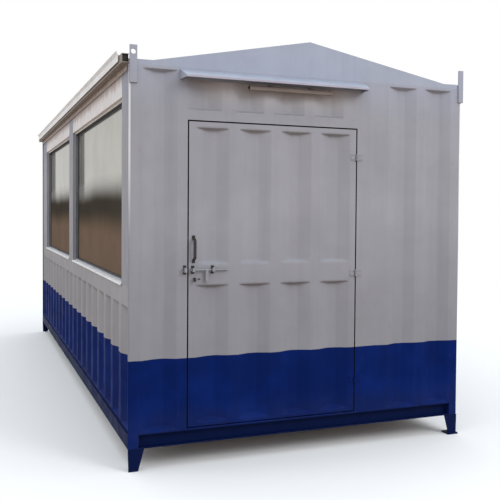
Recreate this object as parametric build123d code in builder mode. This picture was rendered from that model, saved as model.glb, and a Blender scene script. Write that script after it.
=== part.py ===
from build123d import *
import os

os.makedirs("parts", exist_ok=True)

# Portable bunkhouse: a pressed-steel cabin on a channel base with four short legs.
# Millimetres. +X right and -Y towards the viewer, seen from the door end. +Z up.
# The origin is at ground level under the middle of the whole object.

# Driving dimensions
WIDTH = 2438.0            # over the end walls
LENGTH = 5650.0           # over the end frames
LEG = 140.0               # ground to the underside of the base
FOOT_FORE = 20.0          # a foot plate stands out this far past the end wall
BASE_H = 90.0             # base channel
WALL_TOP = 2354.0         # top of the long walls, above the base's underside
END_TOP = 2380.0          # top of the end walls
EAVE = 2412.0             # flat ends of the gable
RIDGE = 2616.0            # peak of the gable
EAVE_FLAT = 150.0         # length of each flat end
WALL_T = 70.0             # pressed skin, filling and lining
SIDE_SET = 14.0           # long walls stand this far inside the end walls' edges
POST_W = 66.0

# Pressed corrugation: a recess every pitch, with sloping sides and ends
PITCH = 292.0
RECESS_W = 224.0          # at the face
RECESS_FLOOR = 64.0       # at the bottom of the recess
RECESS_D = 30.0
RECESS_END = 14.0         # height taken by the sloping end
RECESS_LOW = 104.0
RECESS_TOP = 2361.0

# Door, seen from outside, measured from the left edge of the end wall
DOOR_L, DOOR_R = 382.0, 1578.0
DOOR_LOW, DOOR_TOP = 106.0, 2050.0
DOOR_T = 45.0
DOOR_GAP = 6.0
FRAME_W = 56.0
STOP_W = 24.0             # how far the stop reaches in behind the leaf
STOP_Y = DOOR_T + 6.0
LOCK_RAIL = (1010.0, 1147.0)
SWING = 115.0             # degrees

# Windows on the long walls, measured back from the door end
WINDOWS = ((290.0, 2686.0), (2961.0, 5212.0))
SILL, LINTEL = 1007.0, 2218.0
SASH_W = 16.0             # seen width of the window frame
SASH_FRONT, SASH_BACK = 22.0, 67.0    # depths of the frame behind the wall's face
GLASS_AT, GLASS_T = 57.0, 6.0
SIDE_RECESS_TOP = 870.0   # the recesses of the long walls end well under the windows

# Eaves
ROOF_T = 50.0
SHEET = 4.0
GUTTER_W = 44.0
GUTTER_LOW, GUTTER_TOP = 2386.0, 2440.0
FASCIA_OUT = 54.0
FASCIA_LOW, FASCIA_BEND, FASCIA_TOP = 2402.0, 2443.0, 2465.0
NOSE, NOSE_CUT = 12.0, 2.0

# Rain hood and lamp over the door
HOOD_WALL = (322.0, 1630.0)
HOOD_EDGE = (333.0, 1611.0)   # the ends draw in towards the front edge
HOOD_OUT = 115.0
HOOD_LOW, HOOD_FRONT, HOOD_BACK = 2307.0, 2320.0, 2370.0
LAMP = (768.0, 1358.0)
LAMP_OUT, LAMP_IN = 66.0, 34.0
LAMP_LOW, LAMP_TOP = 2262.0, 2290.0

# Lifting lugs
LUG_W, LUG_T, LUG_H = 46.0, 12.0, 229.0
LUG_IN = 3.0              # from the cabin's edge to the flat lug
FLAT_LUG_TOP, ANGLE_LUG_TOP = 2495.0, 2513.0
LUG_HOLE_R, LUG_HOLE_DOWN = 16.0, 40.0
ANGLE_FACE, ANGLE_SIDE = 28.0, 38.0   # how far the angle lug reaches across the end and along the side
ANGLE_HOLE_R, ANGLE_HOLE_BACK = 13.0, 18.0

# Planes and edges worked out from these
X_R = WIDTH / 2
X_L = -X_R
Y_F = (HOOD_OUT - LENGTH - FOOT_FORE) / 2
Y_B = Y_F + LENGTH
Z_0 = LEG                 # underside of the base
FRONT = Plane(origin=(X_L, Y_F, Z_0), x_dir=(1, 0, 0), z_dir=(0, -1, 0))
REAR = Plane(origin=(X_R, Y_B, Z_0), x_dir=(-1, 0, 0), z_dir=(0, 1, 0))
RIGHT = Plane(origin=(X_R - SIDE_SET, Y_F, Z_0), x_dir=(0, 1, 0), z_dir=(1, 0, 0))
MIDDLE = Plane.XZ.offset(-(Y_F + Y_B) / 2)


def keep(name, piece):
    """Label one finished piece and write its STEP file."""
    piece.label = name
    export_step(piece, f"parts/{name}.step")


def slab(plane, low, high, front, back):
    """A block on a wall plane: low and high corners, then its two depths behind the face."""
    centre = ((low[0] + high[0]) / 2, (low[1] + high[1]) / 2)
    with BuildPart() as block:
        with BuildSketch(plane.offset(-back)):
            with Locations(centre):
                Rectangle(high[0] - low[0], high[1] - low[1])
        extrude(amount=back - front)
    return block.part


def recess_starts(length):
    """Left edges of the recesses that fill a wall of this length evenly."""
    count = int((length - RECESS_W) // PITCH) + 1
    first = (length - (count - 1) * PITCH - RECESS_W) / 2
    return [first + i * PITCH for i in range(count)]


def recess(plane, start, low, high):
    """The hollow of one recess: its section run up the wall, met by its long profile."""
    corner = plane.from_local_coords((start, low, 0))
    flank = (RECESS_W - RECESS_FLOOR) / 2
    with BuildPart() as hollow:
        with BuildSketch(Plane(origin=corner, x_dir=plane.x_dir, z_dir=plane.y_dir)):
            with BuildLine():
                Polyline((0, 0), (RECESS_W, 0), (RECESS_W - flank, RECESS_D), (flank, RECESS_D), close=True)
            make_face()
        extrude(amount=high - low)
        with BuildSketch(Plane(origin=corner, x_dir=plane.y_dir, z_dir=plane.x_dir)):
            with BuildLine():
                Polyline((0, 0), (high - low, 0), (high - low - RECESS_END, -RECESS_D),
                         (RECESS_END, -RECESS_D), close=True)
            make_face()
        extrude(amount=RECESS_W, mode=Mode.INTERSECT)
    return hollow.part


def pressed_wall(plane, low, high, starts, recess_low, recess_high):
    """A wall panel with the recesses that fall wholly inside it."""
    with BuildPart() as wall:
        add(slab(plane, low, high, 0, WALL_T))
        for start in starts:
            if low[0] <= start and start + RECESS_W <= high[0]:
                add(recess(plane, start, recess_low, recess_high), mode=Mode.SUBTRACT)
    return wall.part


def flipped(piece, plane):
    """The mirror image of a piece."""
    with BuildPart() as twin:
        mirror(piece, about=plane)
    return twin.part


def both_sides(name, piece):
    """Write a piece of the right-hand side and its mirror image on the left."""
    keep(f"{name}_right", piece)
    keep(f"{name}_left", flipped(piece, Plane.YZ))


def both_ends(name, piece):
    """Write a piece of the door end and its mirror image at the other end."""
    keep(f"{name}_front", piece)
    keep(f"{name}_rear", flipped(piece, MIDDLE))


# Base: channels at the edges, joists between them, and the floor deck
CHANNEL_T = 6.0
CHANNEL_W = 50.0

with BuildPart() as base_side:
    with BuildSketch(Plane.XZ.offset(-(Y_F + SIDE_SET))):
        with Locations((X_R - CHANNEL_T / 2, Z_0 + BASE_H / 2)):
            Rectangle(CHANNEL_T, BASE_H)
    extrude(amount=-(LENGTH - 2 * SIDE_SET))
    with BuildSketch(Plane.XZ.offset(-(Y_F + WALL_T))):
        with Locations((X_R - CHANNEL_W / 2, Z_0 + CHANNEL_T / 2),
                       (X_R - CHANNEL_W / 2, Z_0 + BASE_H - CHANNEL_T / 2)):
            Rectangle(CHANNEL_W, CHANNEL_T)
    extrude(amount=-(LENGTH - 2 * WALL_T))
both_sides("base_channel", base_side.part)

with BuildPart() as base_channel_end:
    with BuildSketch(Plane.YZ.offset(X_L + POST_W)):
        with BuildLine():
            Polyline((Y_F, Z_0), (Y_F + CHANNEL_W, Z_0), (Y_F + CHANNEL_W, Z_0 + BASE_H),
                     (Y_F, Z_0 + BASE_H), (Y_F, Z_0 + BASE_H - CHANNEL_T),
                     (Y_F + CHANNEL_W - CHANNEL_T, Z_0 + BASE_H - CHANNEL_T),
                     (Y_F + CHANNEL_W - CHANNEL_T, Z_0 + CHANNEL_T), (Y_F, Z_0 + CHANNEL_T), close=True)
        make_face()
    extrude(amount=WIDTH - 2 * POST_W)
both_ends("base_channel", base_channel_end.part)

JOIST_W = 50.0
JOIST_COUNT = 8
JOIST_STEP = (LENGTH - 2 * WALL_T) / (JOIST_COUNT + 1)

with BuildPart() as floor_joists:
    with BuildSketch(Plane.YZ.offset(X_L + CHANNEL_W)):
        with Locations(*[(Y_F + WALL_T + JOIST_STEP * (i + 1), Z_0 + (BASE_H + CHANNEL_T) / 2)
                         for i in range(JOIST_COUNT)]):
            Rectangle(JOIST_W, BASE_H - CHANNEL_T)
    extrude(amount=WIDTH - 2 * CHANNEL_W)
keep("floor_joists", floor_joists.part)

DECK_T = 18.0
DECK_TOP = BASE_H + DECK_T
INNER_X = X_R - SIDE_SET - WALL_T

with BuildPart() as floor_deck:
    with BuildSketch(Plane.XY.offset(Z_0 + BASE_H)):
        with Locations((0, (Y_F + Y_B) / 2)):
            Rectangle(2 * INNER_X, LENGTH - 2 * WALL_T)
    extrude(amount=DECK_T)
keep("floor_deck", floor_deck.part)


# Corner posts: a box behind a wider front flange with a rounded outer edge
FLANGE_T = SIDE_SET
POST_ROUND = 12.0

with BuildPart() as corner_post:
    with BuildSketch(Plane.XY.offset(Z_0)):
        with BuildLine():
            Polyline((X_R - POST_W, Y_F), (X_R, Y_F), (X_R, Y_F + FLANGE_T),
                     (X_R - SIDE_SET, Y_F + FLANGE_T), (X_R - SIDE_SET, Y_F + WALL_T),
                     (X_R - POST_W, Y_F + WALL_T), close=True)
        make_face()
        fillet(vertices().sort_by(Axis.X)[-2:].sort_by(Axis.Y)[0], POST_ROUND)
    extrude(amount=END_TOP)
both_sides("corner_post_front", corner_post.part)
both_sides("corner_post_rear", flipped(corner_post.part, MIDDLE))


# Legs: a tapered plate under each post with a rib behind it, and on the right a foot plate
LEG_TOP_W, LEG_FOOT_W = 102.0, 60.0
LEG_PLATE = 10.0
LEG_RIB_TOP, LEG_RIB_FOOT = 70.0, 52.0
FOOT_W, FOOT_T = 84.0, 10.0
LEG_OUT = 4.0             # the plate's outer edge leans in this much
RIB_X = X_R - LEG_OUT - (LEG_FOOT_W + LEG_PLATE) / 2

with BuildPart() as leg:
    with BuildSketch(Plane.XZ.offset(-(Y_F + LEG_PLATE))):
        with BuildLine():
            Polyline((X_R - LEG_TOP_W, Z_0), (X_R, Z_0), (X_R - LEG_OUT, 0),
                     (X_R - LEG_OUT - LEG_FOOT_W, 0), close=True)
        make_face()
    extrude(amount=LEG_PLATE)
    with BuildSketch(Plane.YZ.offset(RIB_X)):
        with BuildLine():
            Polyline((Y_F + LEG_PLATE, Z_0), (Y_F + LEG_RIB_TOP, Z_0), (Y_F + LEG_RIB_FOOT, 0),
                     (Y_F + LEG_PLATE, 0), close=True)
        make_face()
    extrude(amount=LEG_PLATE)

with BuildPart() as plated_leg:
    add(leg.part)
    with BuildSketch(Plane.XY):
        with Locations((X_R - FOOT_W / 2, Y_F - FOOT_FORE + FOOT_W / 2)):
            Rectangle(FOOT_W, FOOT_W)
    extrude(amount=FOOT_T)

keep("leg_front_right", plated_leg.part)
keep("leg_rear_right", flipped(plated_leg.part, MIDDLE))
left_leg = flipped(leg.part, Plane.YZ)
keep("leg_front_left", left_leg)
keep("leg_rear_left", flipped(left_leg, MIDDLE))


# End walls, split beside and over the doorway
FRAME_L = DOOR_L - DOOR_GAP - FRAME_W
FRAME_R = DOOR_R + DOOR_GAP + FRAME_W
FRAME_TOP = DOOR_TOP + DOOR_GAP + FRAME_W
END_STARTS = recess_starts(WIDTH)
OVER_DOOR_LOW = FRAME_TOP + 8.0

keep("front_wall_left", pressed_wall(FRONT, (POST_W, BASE_H), (FRAME_L, END_TOP), END_STARTS,
                                     RECESS_LOW, RECESS_TOP))
keep("front_wall_right", pressed_wall(FRONT, (FRAME_R, BASE_H), (WIDTH - POST_W, END_TOP), END_STARTS,
                                      RECESS_LOW, RECESS_TOP))
keep("front_wall_over_door", pressed_wall(FRONT, (FRAME_L, FRAME_TOP), (FRAME_R, END_TOP), END_STARTS,
                                          OVER_DOOR_LOW, RECESS_TOP))
keep("rear_wall", pressed_wall(REAR, (POST_W, BASE_H), (WIDTH - POST_W, END_TOP), END_STARTS,
                               RECESS_LOW, RECESS_TOP))


# Long walls: a pressed panel under the windows, plain panels beside and over them
SIDE_STARTS = recess_starts(LENGTH)
SIDE_END = LENGTH - WALL_T
POSTS = ((WALL_T, WINDOWS[0][0]), (WINDOWS[0][1], WINDOWS[1][0]), (WINDOWS[1][1], SIDE_END))

both_sides("side_wall_under_windows",
           pressed_wall(RIGHT, (WALL_T, BASE_H), (SIDE_END, SILL), SIDE_STARTS, RECESS_LOW, SIDE_RECESS_TOP))

with BuildPart() as side_wall_over_windows:
    for start, end in WINDOWS:
        add(slab(RIGHT, (start, LINTEL), (end, WALL_TOP), 0, WALL_T))
both_sides("side_wall_over_windows", side_wall_over_windows.part)

with BuildPart() as side_wall_piers:
    for start, end in POSTS:
        add(slab(RIGHT, (start, SILL), (end, WALL_TOP), 0, WALL_T))
both_sides("side_wall_piers", side_wall_piers.part)


# Windows: a frame round each opening, set back in it, and one pane near its inner edge
with BuildPart() as window_frames:
    for start, end in WINDOWS:
        add(slab(RIGHT, (start, SILL), (end, LINTEL), SASH_FRONT, SASH_BACK))
        add(slab(RIGHT, (start + SASH_W, SILL + SASH_W), (end - SASH_W, LINTEL - SASH_W),
                 SASH_FRONT, SASH_BACK), mode=Mode.SUBTRACT)
both_sides("window_frames", window_frames.part)

with BuildPart() as window_glass:
    for start, end in WINDOWS:
        add(slab(RIGHT, (start + SASH_W, SILL + SASH_W), (end - SASH_W, LINTEL - SASH_W),
                 GLASS_AT - GLASS_T / 2, GLASS_AT + GLASS_T / 2))
both_sides("window_glass", window_glass.part)


# Gables: plates on the end walls with short flat ends and one peak
GABLE_T = WALL_T

with BuildPart() as front_gable:
    with BuildSketch(FRONT):
        with BuildLine():
            Polyline((0, END_TOP), (WIDTH, END_TOP), (WIDTH, EAVE), (WIDTH - EAVE_FLAT, EAVE),
                     (WIDTH / 2, RIDGE), (EAVE_FLAT, EAVE), (0, EAVE), close=True)
        make_face()
    extrude(amount=-GABLE_T)
keep("front_gable", front_gable.part)
keep("rear_gable", flipped(front_gable.part, MIDDLE))


# Roof: two ribbed slabs between the gables, each with a flat edge over the long wall
RIDGE_DROP = 34.0         # the roof's top lies under the gable's edge by this much at the ridge
EAVE_DROP = 8.0           # and by this much at the flat edge
ROOF_BREAK = X_R - EAVE_FLAT
ROOF_RIDGE = Z_0 + RIDGE - RIDGE_DROP
ROOF_EAVE = Z_0 + EAVE - EAVE_DROP
RIB_BASE, RIB_H, RIB_ANGLE = 64.0, 20.0, 50.0
RIB_START = 20.0          # along the slope from the ridge
SLOPE_DIR = Vector(ROOF_BREAK, 0, ROOF_EAVE - ROOF_RIDGE)
RIB_COUNT = len(recess_starts(LENGTH)) - 1
RIB_SECTION = Plane(origin=Vector(0, (Y_F + Y_B) / 2, ROOF_RIDGE) + SLOPE_DIR.normalized() * RIB_START,
                    x_dir=(0, 1, 0), z_dir=SLOPE_DIR)

with BuildPart() as roof:
    with BuildSketch(Plane.XZ.offset(-(Y_F + GABLE_T))):
        with BuildLine():
            Polyline((0, ROOF_RIDGE), (ROOF_BREAK, ROOF_EAVE), (X_R, ROOF_EAVE), (X_R, Z_0 + WALL_TOP),
                     (ROOF_BREAK - SHEET, Z_0 + WALL_TOP), (0, ROOF_RIDGE - ROOF_T), close=True)
        make_face()
    extrude(amount=-(LENGTH - 2 * GABLE_T))
    with BuildSketch(RIB_SECTION):
        with GridLocations(PITCH, 0, RIB_COUNT, 1):
            Trapezoid(RIB_BASE, RIB_H, RIB_ANGLE, align=(Align.CENTER, Align.MIN))
    extrude(amount=SLOPE_DIR.length - RIB_START)
both_sides("roof", roof.part)


# Ridge cap: a folded strip lying on the ribs over the joint of the two slabs
CAP_W, CAP_T = 150.0, 4.0
CAP_TOP = ROOF_RIDGE + RIB_H * SLOPE_DIR.length / ROOF_BREAK + CAP_T
CAP_FALL = CAP_W * (ROOF_RIDGE - ROOF_EAVE) / ROOF_BREAK

with BuildPart() as ridge_cap:
    with BuildSketch(Plane.XZ.offset(-(Y_F + GABLE_T))):
        with BuildLine():
            Polyline((-CAP_W, CAP_TOP - CAP_FALL), (0, CAP_TOP), (CAP_W, CAP_TOP - CAP_FALL),
                     (CAP_W, CAP_TOP - CAP_FALL - CAP_T), (0, CAP_TOP - CAP_T),
                     (-CAP_W, CAP_TOP - CAP_FALL - CAP_T), close=True)
        make_face()
    extrude(amount=-(LENGTH - 2 * GABLE_T))
keep("ridge_cap", ridge_cap.part)


# Gutters: a folded box along each eave, open towards the roof and at both ends
RIGHT_GUTTER_INSET = 130.0    # clear of the angle lugs


def gutter(inset):
    """The right-hand gutter, stopping short of each end wall by this much."""
    with BuildPart() as channel:
        with BuildSketch(Plane.XZ.offset(-(Y_F + inset))):
            with BuildLine():
                Polyline((X_R, Z_0 + GUTTER_LOW), (X_R + GUTTER_W, Z_0 + GUTTER_LOW),
                         (X_R + GUTTER_W, Z_0 + GUTTER_TOP), (X_R, Z_0 + GUTTER_TOP),
                         (X_R, Z_0 + GUTTER_TOP - SHEET), (X_R + GUTTER_W - SHEET, Z_0 + GUTTER_TOP - SHEET),
                         (X_R + GUTTER_W - SHEET, Z_0 + GUTTER_LOW + SHEET),
                         (X_R + SHEET, Z_0 + GUTTER_LOW + SHEET), (X_R + SHEET, ROOF_EAVE),
                         (X_R, ROOF_EAVE), close=True)
            make_face()
        extrude(amount=-(LENGTH - 2 * inset))
    return channel.part


keep("gutter_right", gutter(RIGHT_GUTTER_INSET))
keep("gutter_left", flipped(gutter(0), Plane.YZ))


# Fascias: a folded strip outside each gutter, with a lip on the gutter's lid and a raised nose
LEFT_FASCIA_INSET, RIGHT_FASCIA_INSET = 80.0, 300.0
FASCIA_LIP = 18.0


def fascia(inset):
    """The right-hand fascia, stopping short of each end wall by this much."""
    back = X_R + FASCIA_OUT - SHEET
    with BuildPart() as strip:
        with BuildSketch(Plane.XZ.offset(-(Y_F + inset))):
            with BuildLine():
                Polyline((back, Z_0 + FASCIA_LOW), (X_R + FASCIA_OUT, Z_0 + FASCIA_LOW),
                         (X_R + FASCIA_OUT, Z_0 + FASCIA_BEND), (X_R + FASCIA_OUT + NOSE, Z_0 + FASCIA_TOP),
                         (X_R + FASCIA_OUT + NOSE - SHEET, Z_0 + FASCIA_TOP + NOSE_CUT),
                         (back, Z_0 + GUTTER_TOP + SHEET), (back - FASCIA_LIP, Z_0 + GUTTER_TOP + SHEET),
                         (back - FASCIA_LIP, Z_0 + GUTTER_TOP), (back, Z_0 + GUTTER_TOP), close=True)
            make_face()
        extrude(amount=-(LENGTH - 2 * inset))
    return strip.part


keep("fascia_right", fascia(RIGHT_FASCIA_INSET))
keep("fascia_left", flipped(fascia(LEFT_FASCIA_INSET), Plane.YZ))


# Lifting lugs: on the left a flat bar on the end wall, on the right an angle round the corner
with BuildPart() as lifting_lugs:
    with BuildSketch(FRONT):
        with Locations((LUG_IN + LUG_W / 2, FLAT_LUG_TOP - LUG_H / 2)):
            Rectangle(LUG_W, LUG_H)
        with Locations((LUG_IN + LUG_W / 2, FLAT_LUG_TOP - LUG_HOLE_DOWN)):
            Circle(LUG_HOLE_R, mode=Mode.SUBTRACT)
    extrude(amount=LUG_T)
    with BuildSketch(Plane.XY.offset(Z_0 + ANGLE_LUG_TOP - LUG_H)):
        with BuildLine():
            Polyline((X_R - ANGLE_FACE, Y_F - LUG_T), (X_R + LUG_T, Y_F - LUG_T),
                     (X_R + LUG_T, Y_F + ANGLE_SIDE), (X_R, Y_F + ANGLE_SIDE), (X_R, Y_F),
                     (X_R - ANGLE_FACE, Y_F), close=True)
        make_face()
        fillet(vertices().group_by(Axis.X)[-1].sort_by(Axis.Y)[0], LUG_T / 2)
    extrude(amount=LUG_H)
    with BuildSketch(RIGHT.offset(SIDE_SET)):
        with Locations((ANGLE_HOLE_BACK, ANGLE_LUG_TOP - LUG_HOLE_DOWN)):
            Circle(ANGLE_HOLE_R)
    extrude(amount=LUG_T, mode=Mode.SUBTRACT)
both_ends("lifting_lugs", lifting_lugs.part)


# Door frame: jambs, head and threshold, with a stop behind the leaf
SILL_TOP = DOOR_LOW - 8.0

with BuildPart() as door_frame:
    add(slab(FRONT, (FRAME_L, BASE_H), (FRAME_R, FRAME_TOP), 0, WALL_T))
    add(slab(FRONT, (DOOR_L - DOOR_GAP, SILL_TOP), (DOOR_R + DOOR_GAP, DOOR_TOP + DOOR_GAP), 0, STOP_Y),
        mode=Mode.SUBTRACT)
    add(slab(FRONT, (DOOR_L + STOP_W, SILL_TOP), (DOOR_R - STOP_W, DOOR_TOP - STOP_W), STOP_Y, WALL_T),
        mode=Mode.SUBTRACT)
keep("door_frame", door_frame.part)


# Door leaf: a flat slab with pressed recesses above and below the lock rail
DOOR_RECESS_LOW, DOOR_RECESS_TOP = 130.0, 2012.0
DOOR_STARTS = [DOOR_L + (DOOR_R - DOOR_L - 3 * PITCH - RECESS_W) / 2 + i * PITCH for i in range(4)]

with BuildPart() as door_leaf:
    add(slab(FRONT, (DOOR_L, DOOR_LOW), (DOOR_R, DOOR_TOP), 0, DOOR_T))
    for start in DOOR_STARTS:
        add(recess(FRONT, start, DOOR_RECESS_LOW, LOCK_RAIL[0]), mode=Mode.SUBTRACT)
        add(recess(FRONT, start, LOCK_RAIL[1], DOOR_RECESS_TOP), mode=Mode.SUBTRACT)
keep("door_leaf", door_leaf.part)


# Hinges: a leaf each side of the gap, and a knuckle in three lengths round a pin
HINGES = (1860.0, 1064.0, 329.0)
HINGE_H = 46.0
KNUCKLE_R, PIN_R, PIN_PLAY = 8.0, 3.5, 0.5
HINGE_X = DOOR_R + DOOR_GAP / 2
HINGE_Y = -9.0            # axis in front of the wall's face
LEAF_T, LEAF_W = 3.0, 34.0
KNUCKLE_CLEAR = 10.0
GAP_Z = 2.0


def hinge_spot(z):
    """Plane across the hinge axis at a height above the base's underside."""
    return Plane(origin=(X_L + HINGE_X, Y_F + HINGE_Y, Z_0 + z), x_dir=(1, 0, 0), z_dir=(0, 0, 1))


def knuckle(z, height, bore):
    """One length of the hinge barrel, with a bore of this radius, or solid."""
    with BuildPart() as barrel:
        with BuildSketch(hinge_spot(z)):
            Circle(KNUCKLE_R)
            if bore:
                Circle(bore, mode=Mode.SUBTRACT)
        extrude(amount=height)
    return barrel.part


def hinge_leaf(side, z, height, near):
    """A flat strip beside the barrel: side is 1 for the frame and -1 for the door."""
    low = min(side * near, side * (KNUCKLE_CLEAR + LEAF_W))
    high = max(side * near, side * (KNUCKLE_CLEAR + LEAF_W))
    return slab(FRONT, (HINGE_X + low, z), (HINGE_X + high, z + height), -LEAF_T, 0)


THIRD = HINGE_H / 3

with BuildPart() as hinges_frame_side:
    for mid in HINGES:
        low = mid - HINGE_H / 2
        add(hinge_leaf(1, low, HINGE_H, KNUCKLE_CLEAR))
        for z in (low, low + 2 * THIRD):
            add(hinge_leaf(1, z, THIRD, 0))
            add(knuckle(z, THIRD, 0))
        with BuildSketch(hinge_spot(low)):
            Circle(PIN_R)
        extrude(amount=HINGE_H)
keep("hinges_frame_side", hinges_frame_side.part)

with BuildPart() as hinges_door_side:
    for mid in HINGES:
        low = mid - HINGE_H / 2
        add(hinge_leaf(-1, low, HINGE_H, KNUCKLE_CLEAR))
        add(hinge_leaf(-1, low + THIRD + GAP_Z, THIRD - 2 * GAP_Z, 0))
        add(knuckle(low + THIRD + GAP_Z, THIRD - 2 * GAP_Z, 0))
        with BuildSketch(hinge_spot(low)):
            Circle(PIN_R + PIN_PLAY)
        extrude(amount=HINGE_H, mode=Mode.SUBTRACT)
keep("hinges_door_side", hinges_door_side.part)


# Pull handle: a wide strap bent outwards between two flat feet
HANDLE_X, HANDLE_W, HANDLE_T = 415.0, 18.0, 7.0
HANDLE_Z = (1172.0, 1310.0)
HANDLE_OUT, HANDLE_LEAN, HANDLE_FOOT = 35.0, 14.0, 18.0
HANDLE_ROUND = 8.0

with BuildPart() as door_handle:
    with BuildSketch(Plane.YZ.offset(X_L + HANDLE_X - HANDLE_W / 2)):
        with BuildLine():
            FilletPolyline((Y_F - HANDLE_T / 2, Z_0 + HANDLE_Z[0] - HANDLE_FOOT),
                           (Y_F - HANDLE_T / 2, Z_0 + HANDLE_Z[0]),
                           (Y_F - HANDLE_OUT, Z_0 + HANDLE_Z[0] + HANDLE_LEAN),
                           (Y_F - HANDLE_OUT, Z_0 + HANDLE_Z[1] - HANDLE_LEAN),
                           (Y_F - HANDLE_T / 2, Z_0 + HANDLE_Z[1]),
                           (Y_F - HANDLE_T / 2, Z_0 + HANDLE_Z[1] + HANDLE_FOOT), radius=HANDLE_ROUND)
        trace(line_width=HANDLE_T)
    extrude(amount=HANDLE_W)
keep("door_handle", door_handle.part)


# Bolt: a round rod with a hanging tongue, drawn back clear of the frame
BOLT_Z, BOLT_OUT, BOLT_R = 1110.0, 18.0, 6.0
BOLT_THROW = 60.0
BOLT_X = (392.0, 646.0)
TONGUE_X, TONGUE_W, TONGUE_LOW = 500.0, 20.0, 1036.0
TONGUE_T = 4.0

with BuildPart() as door_bolt:
    with BuildSketch(Plane(origin=(X_L + BOLT_X[0], Y_F - BOLT_OUT, Z_0 + BOLT_Z), z_dir=(1, 0, 0))):
        Circle(BOLT_R)
    extrude(amount=BOLT_X[1] - BOLT_X[0])
    add(slab(FRONT, (TONGUE_X - TONGUE_W / 2, TONGUE_LOW), (TONGUE_X + TONGUE_W / 2, BOLT_Z),
             -BOLT_OUT - TONGUE_T, -BOLT_OUT))
keep("door_bolt", door_bolt.part)

LOOP_W, LOOP_T, LOOP_OUT = 18.0, 4.0, 33.0
GUIDE_PLAY, KEEPER_PLAY = 2.0, 5.0


def bolt_loop(x, half_inner):
    """A strap bent round the bolt and standing on the face."""
    outer = half_inner + LOOP_T
    with BuildPart() as loop:
        add(slab(FRONT, (x - LOOP_W / 2, BOLT_Z - outer), (x + LOOP_W / 2, BOLT_Z + outer), -LOOP_OUT, 0))
        add(slab(FRONT, (x - LOOP_W / 2, BOLT_Z - half_inner), (x + LOOP_W / 2, BOLT_Z + half_inner),
                 -LOOP_OUT + LOOP_T, -LOOP_T), mode=Mode.SUBTRACT)
    return loop.part


GUIDES = (410.0, 541.0)
KEEPER_X = 357.0

with BuildPart() as bolt_guides:
    for x in GUIDES:
        add(bolt_loop(x, BOLT_R + GUIDE_PLAY))
keep("bolt_guides", bolt_guides.part)
keep("bolt_keeper", bolt_loop(KEEPER_X, BOLT_R + KEEPER_PLAY))

HASP_X = (416.0, 424.0)
HASP_H = 24.0
HASP_HOLE = (20.5, 7.0)   # distance out from the face, radius

with BuildPart() as hasp_staple:
    add(slab(FRONT, (HASP_X[0], TONGUE_LOW), (HASP_X[1], TONGUE_LOW + HASP_H), -LOOP_OUT, 0))
    with BuildSketch(Plane(origin=(X_L + HASP_X[0], Y_F - HASP_HOLE[0], Z_0 + TONGUE_LOW + HASP_H / 2),
                           z_dir=(1, 0, 0))):
        Circle(HASP_HOLE[1])
    extrude(amount=HASP_X[1] - HASP_X[0], mode=Mode.SUBTRACT)
keep("hasp_staple", hasp_staple.part)


# Rain hood: a sheet folded down to a narrow lip, with closed ends, open below
HOOD_FALL = (HOOD_BACK - HOOD_FRONT) / HOOD_OUT
HOOD_SLANT = (1 + HOOD_FALL ** 2) ** 0.5


def hood_body(inset):
    """The hood's outer form, or its hollow when drawn in by the sheet's thickness."""
    fore = HOOD_OUT - inset
    with BuildPart() as body:
        with BuildSketch(Plane.YZ.offset(X_L + HOOD_WALL[0])):
            with BuildLine():
                Polyline((Y_F - inset, Z_0 + HOOD_BACK - inset * (HOOD_FALL + HOOD_SLANT)),
                         (Y_F - fore, Z_0 + HOOD_BACK - fore * HOOD_FALL - inset * HOOD_SLANT),
                         (Y_F - fore, Z_0 + HOOD_LOW), (Y_F - inset, Z_0 + HOOD_LOW), close=True)
            make_face()
        extrude(amount=HOOD_WALL[1] - HOOD_WALL[0])
        with BuildSketch(Plane.XY.offset(Z_0 + HOOD_LOW)):
            with BuildLine():
                Polyline((X_L + HOOD_WALL[0] + inset, Y_F), (X_L + HOOD_WALL[1] - inset, Y_F),
                         (X_L + HOOD_EDGE[1] - inset, Y_F - HOOD_OUT),
                         (X_L + HOOD_EDGE[0] + inset, Y_F - HOOD_OUT), close=True)
            make_face()
        extrude(amount=HOOD_BACK - HOOD_LOW, mode=Mode.INTERSECT)
    return body.part


with BuildPart() as door_hood:
    add(hood_body(0))
    add(hood_body(SHEET), mode=Mode.SUBTRACT)
keep("door_hood", door_hood.part)


# Lamp under the hood: a slim rounded housing, an end cap at each end, and two straps to the wall
CAP_L, CAP_PROUD = 18.0, 1.5
LAMP_ROUND = 11.0
STRAP_W, STRAP_T = 24.0, 4.0
LAMP_STRAPS = (927.0, 1219.0)


def lamp_length(start, length, proud):
    """A length of the housing's section, larger all round by this much."""
    middle = (Y_F - (LAMP_OUT + LAMP_IN) / 2, Z_0 + (LAMP_LOW + LAMP_TOP) / 2)
    with BuildPart() as body:
        with BuildSketch(Plane.YZ.offset(X_L + start)):
            with Locations(middle):
                Rectangle(LAMP_OUT - LAMP_IN + 2 * proud, LAMP_TOP - LAMP_LOW + 2 * proud)
            fillet(vertices().sort_by(Axis.Z)[:2], LAMP_ROUND + proud)
        extrude(amount=length)
    return body.part


with BuildPart() as hood_lamp:
    add(lamp_length(LAMP[0], LAMP[1] - LAMP[0], 0))
    add(lamp_length(LAMP[0], CAP_L, CAP_PROUD))
    add(lamp_length(LAMP[1] - CAP_L, CAP_L, CAP_PROUD))
    for x in LAMP_STRAPS:
        add(slab(FRONT, (x - STRAP_W / 2, LAMP_TOP), (x + STRAP_W / 2, LAMP_TOP + STRAP_T), -LAMP_OUT, 0))
        add(slab(FRONT, (x - STRAP_W / 2, LAMP_TOP), (x + STRAP_W / 2, HOOD_LOW), -STRAP_T, 0))
keep("hood_lamp", hood_lamp.part)
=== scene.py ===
"""The looks of a portable bunkhouse: finishes, small fittings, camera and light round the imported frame."""

import math
import random

import bmesh
import bpy
from mathutils import Matrix, Vector


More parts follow.
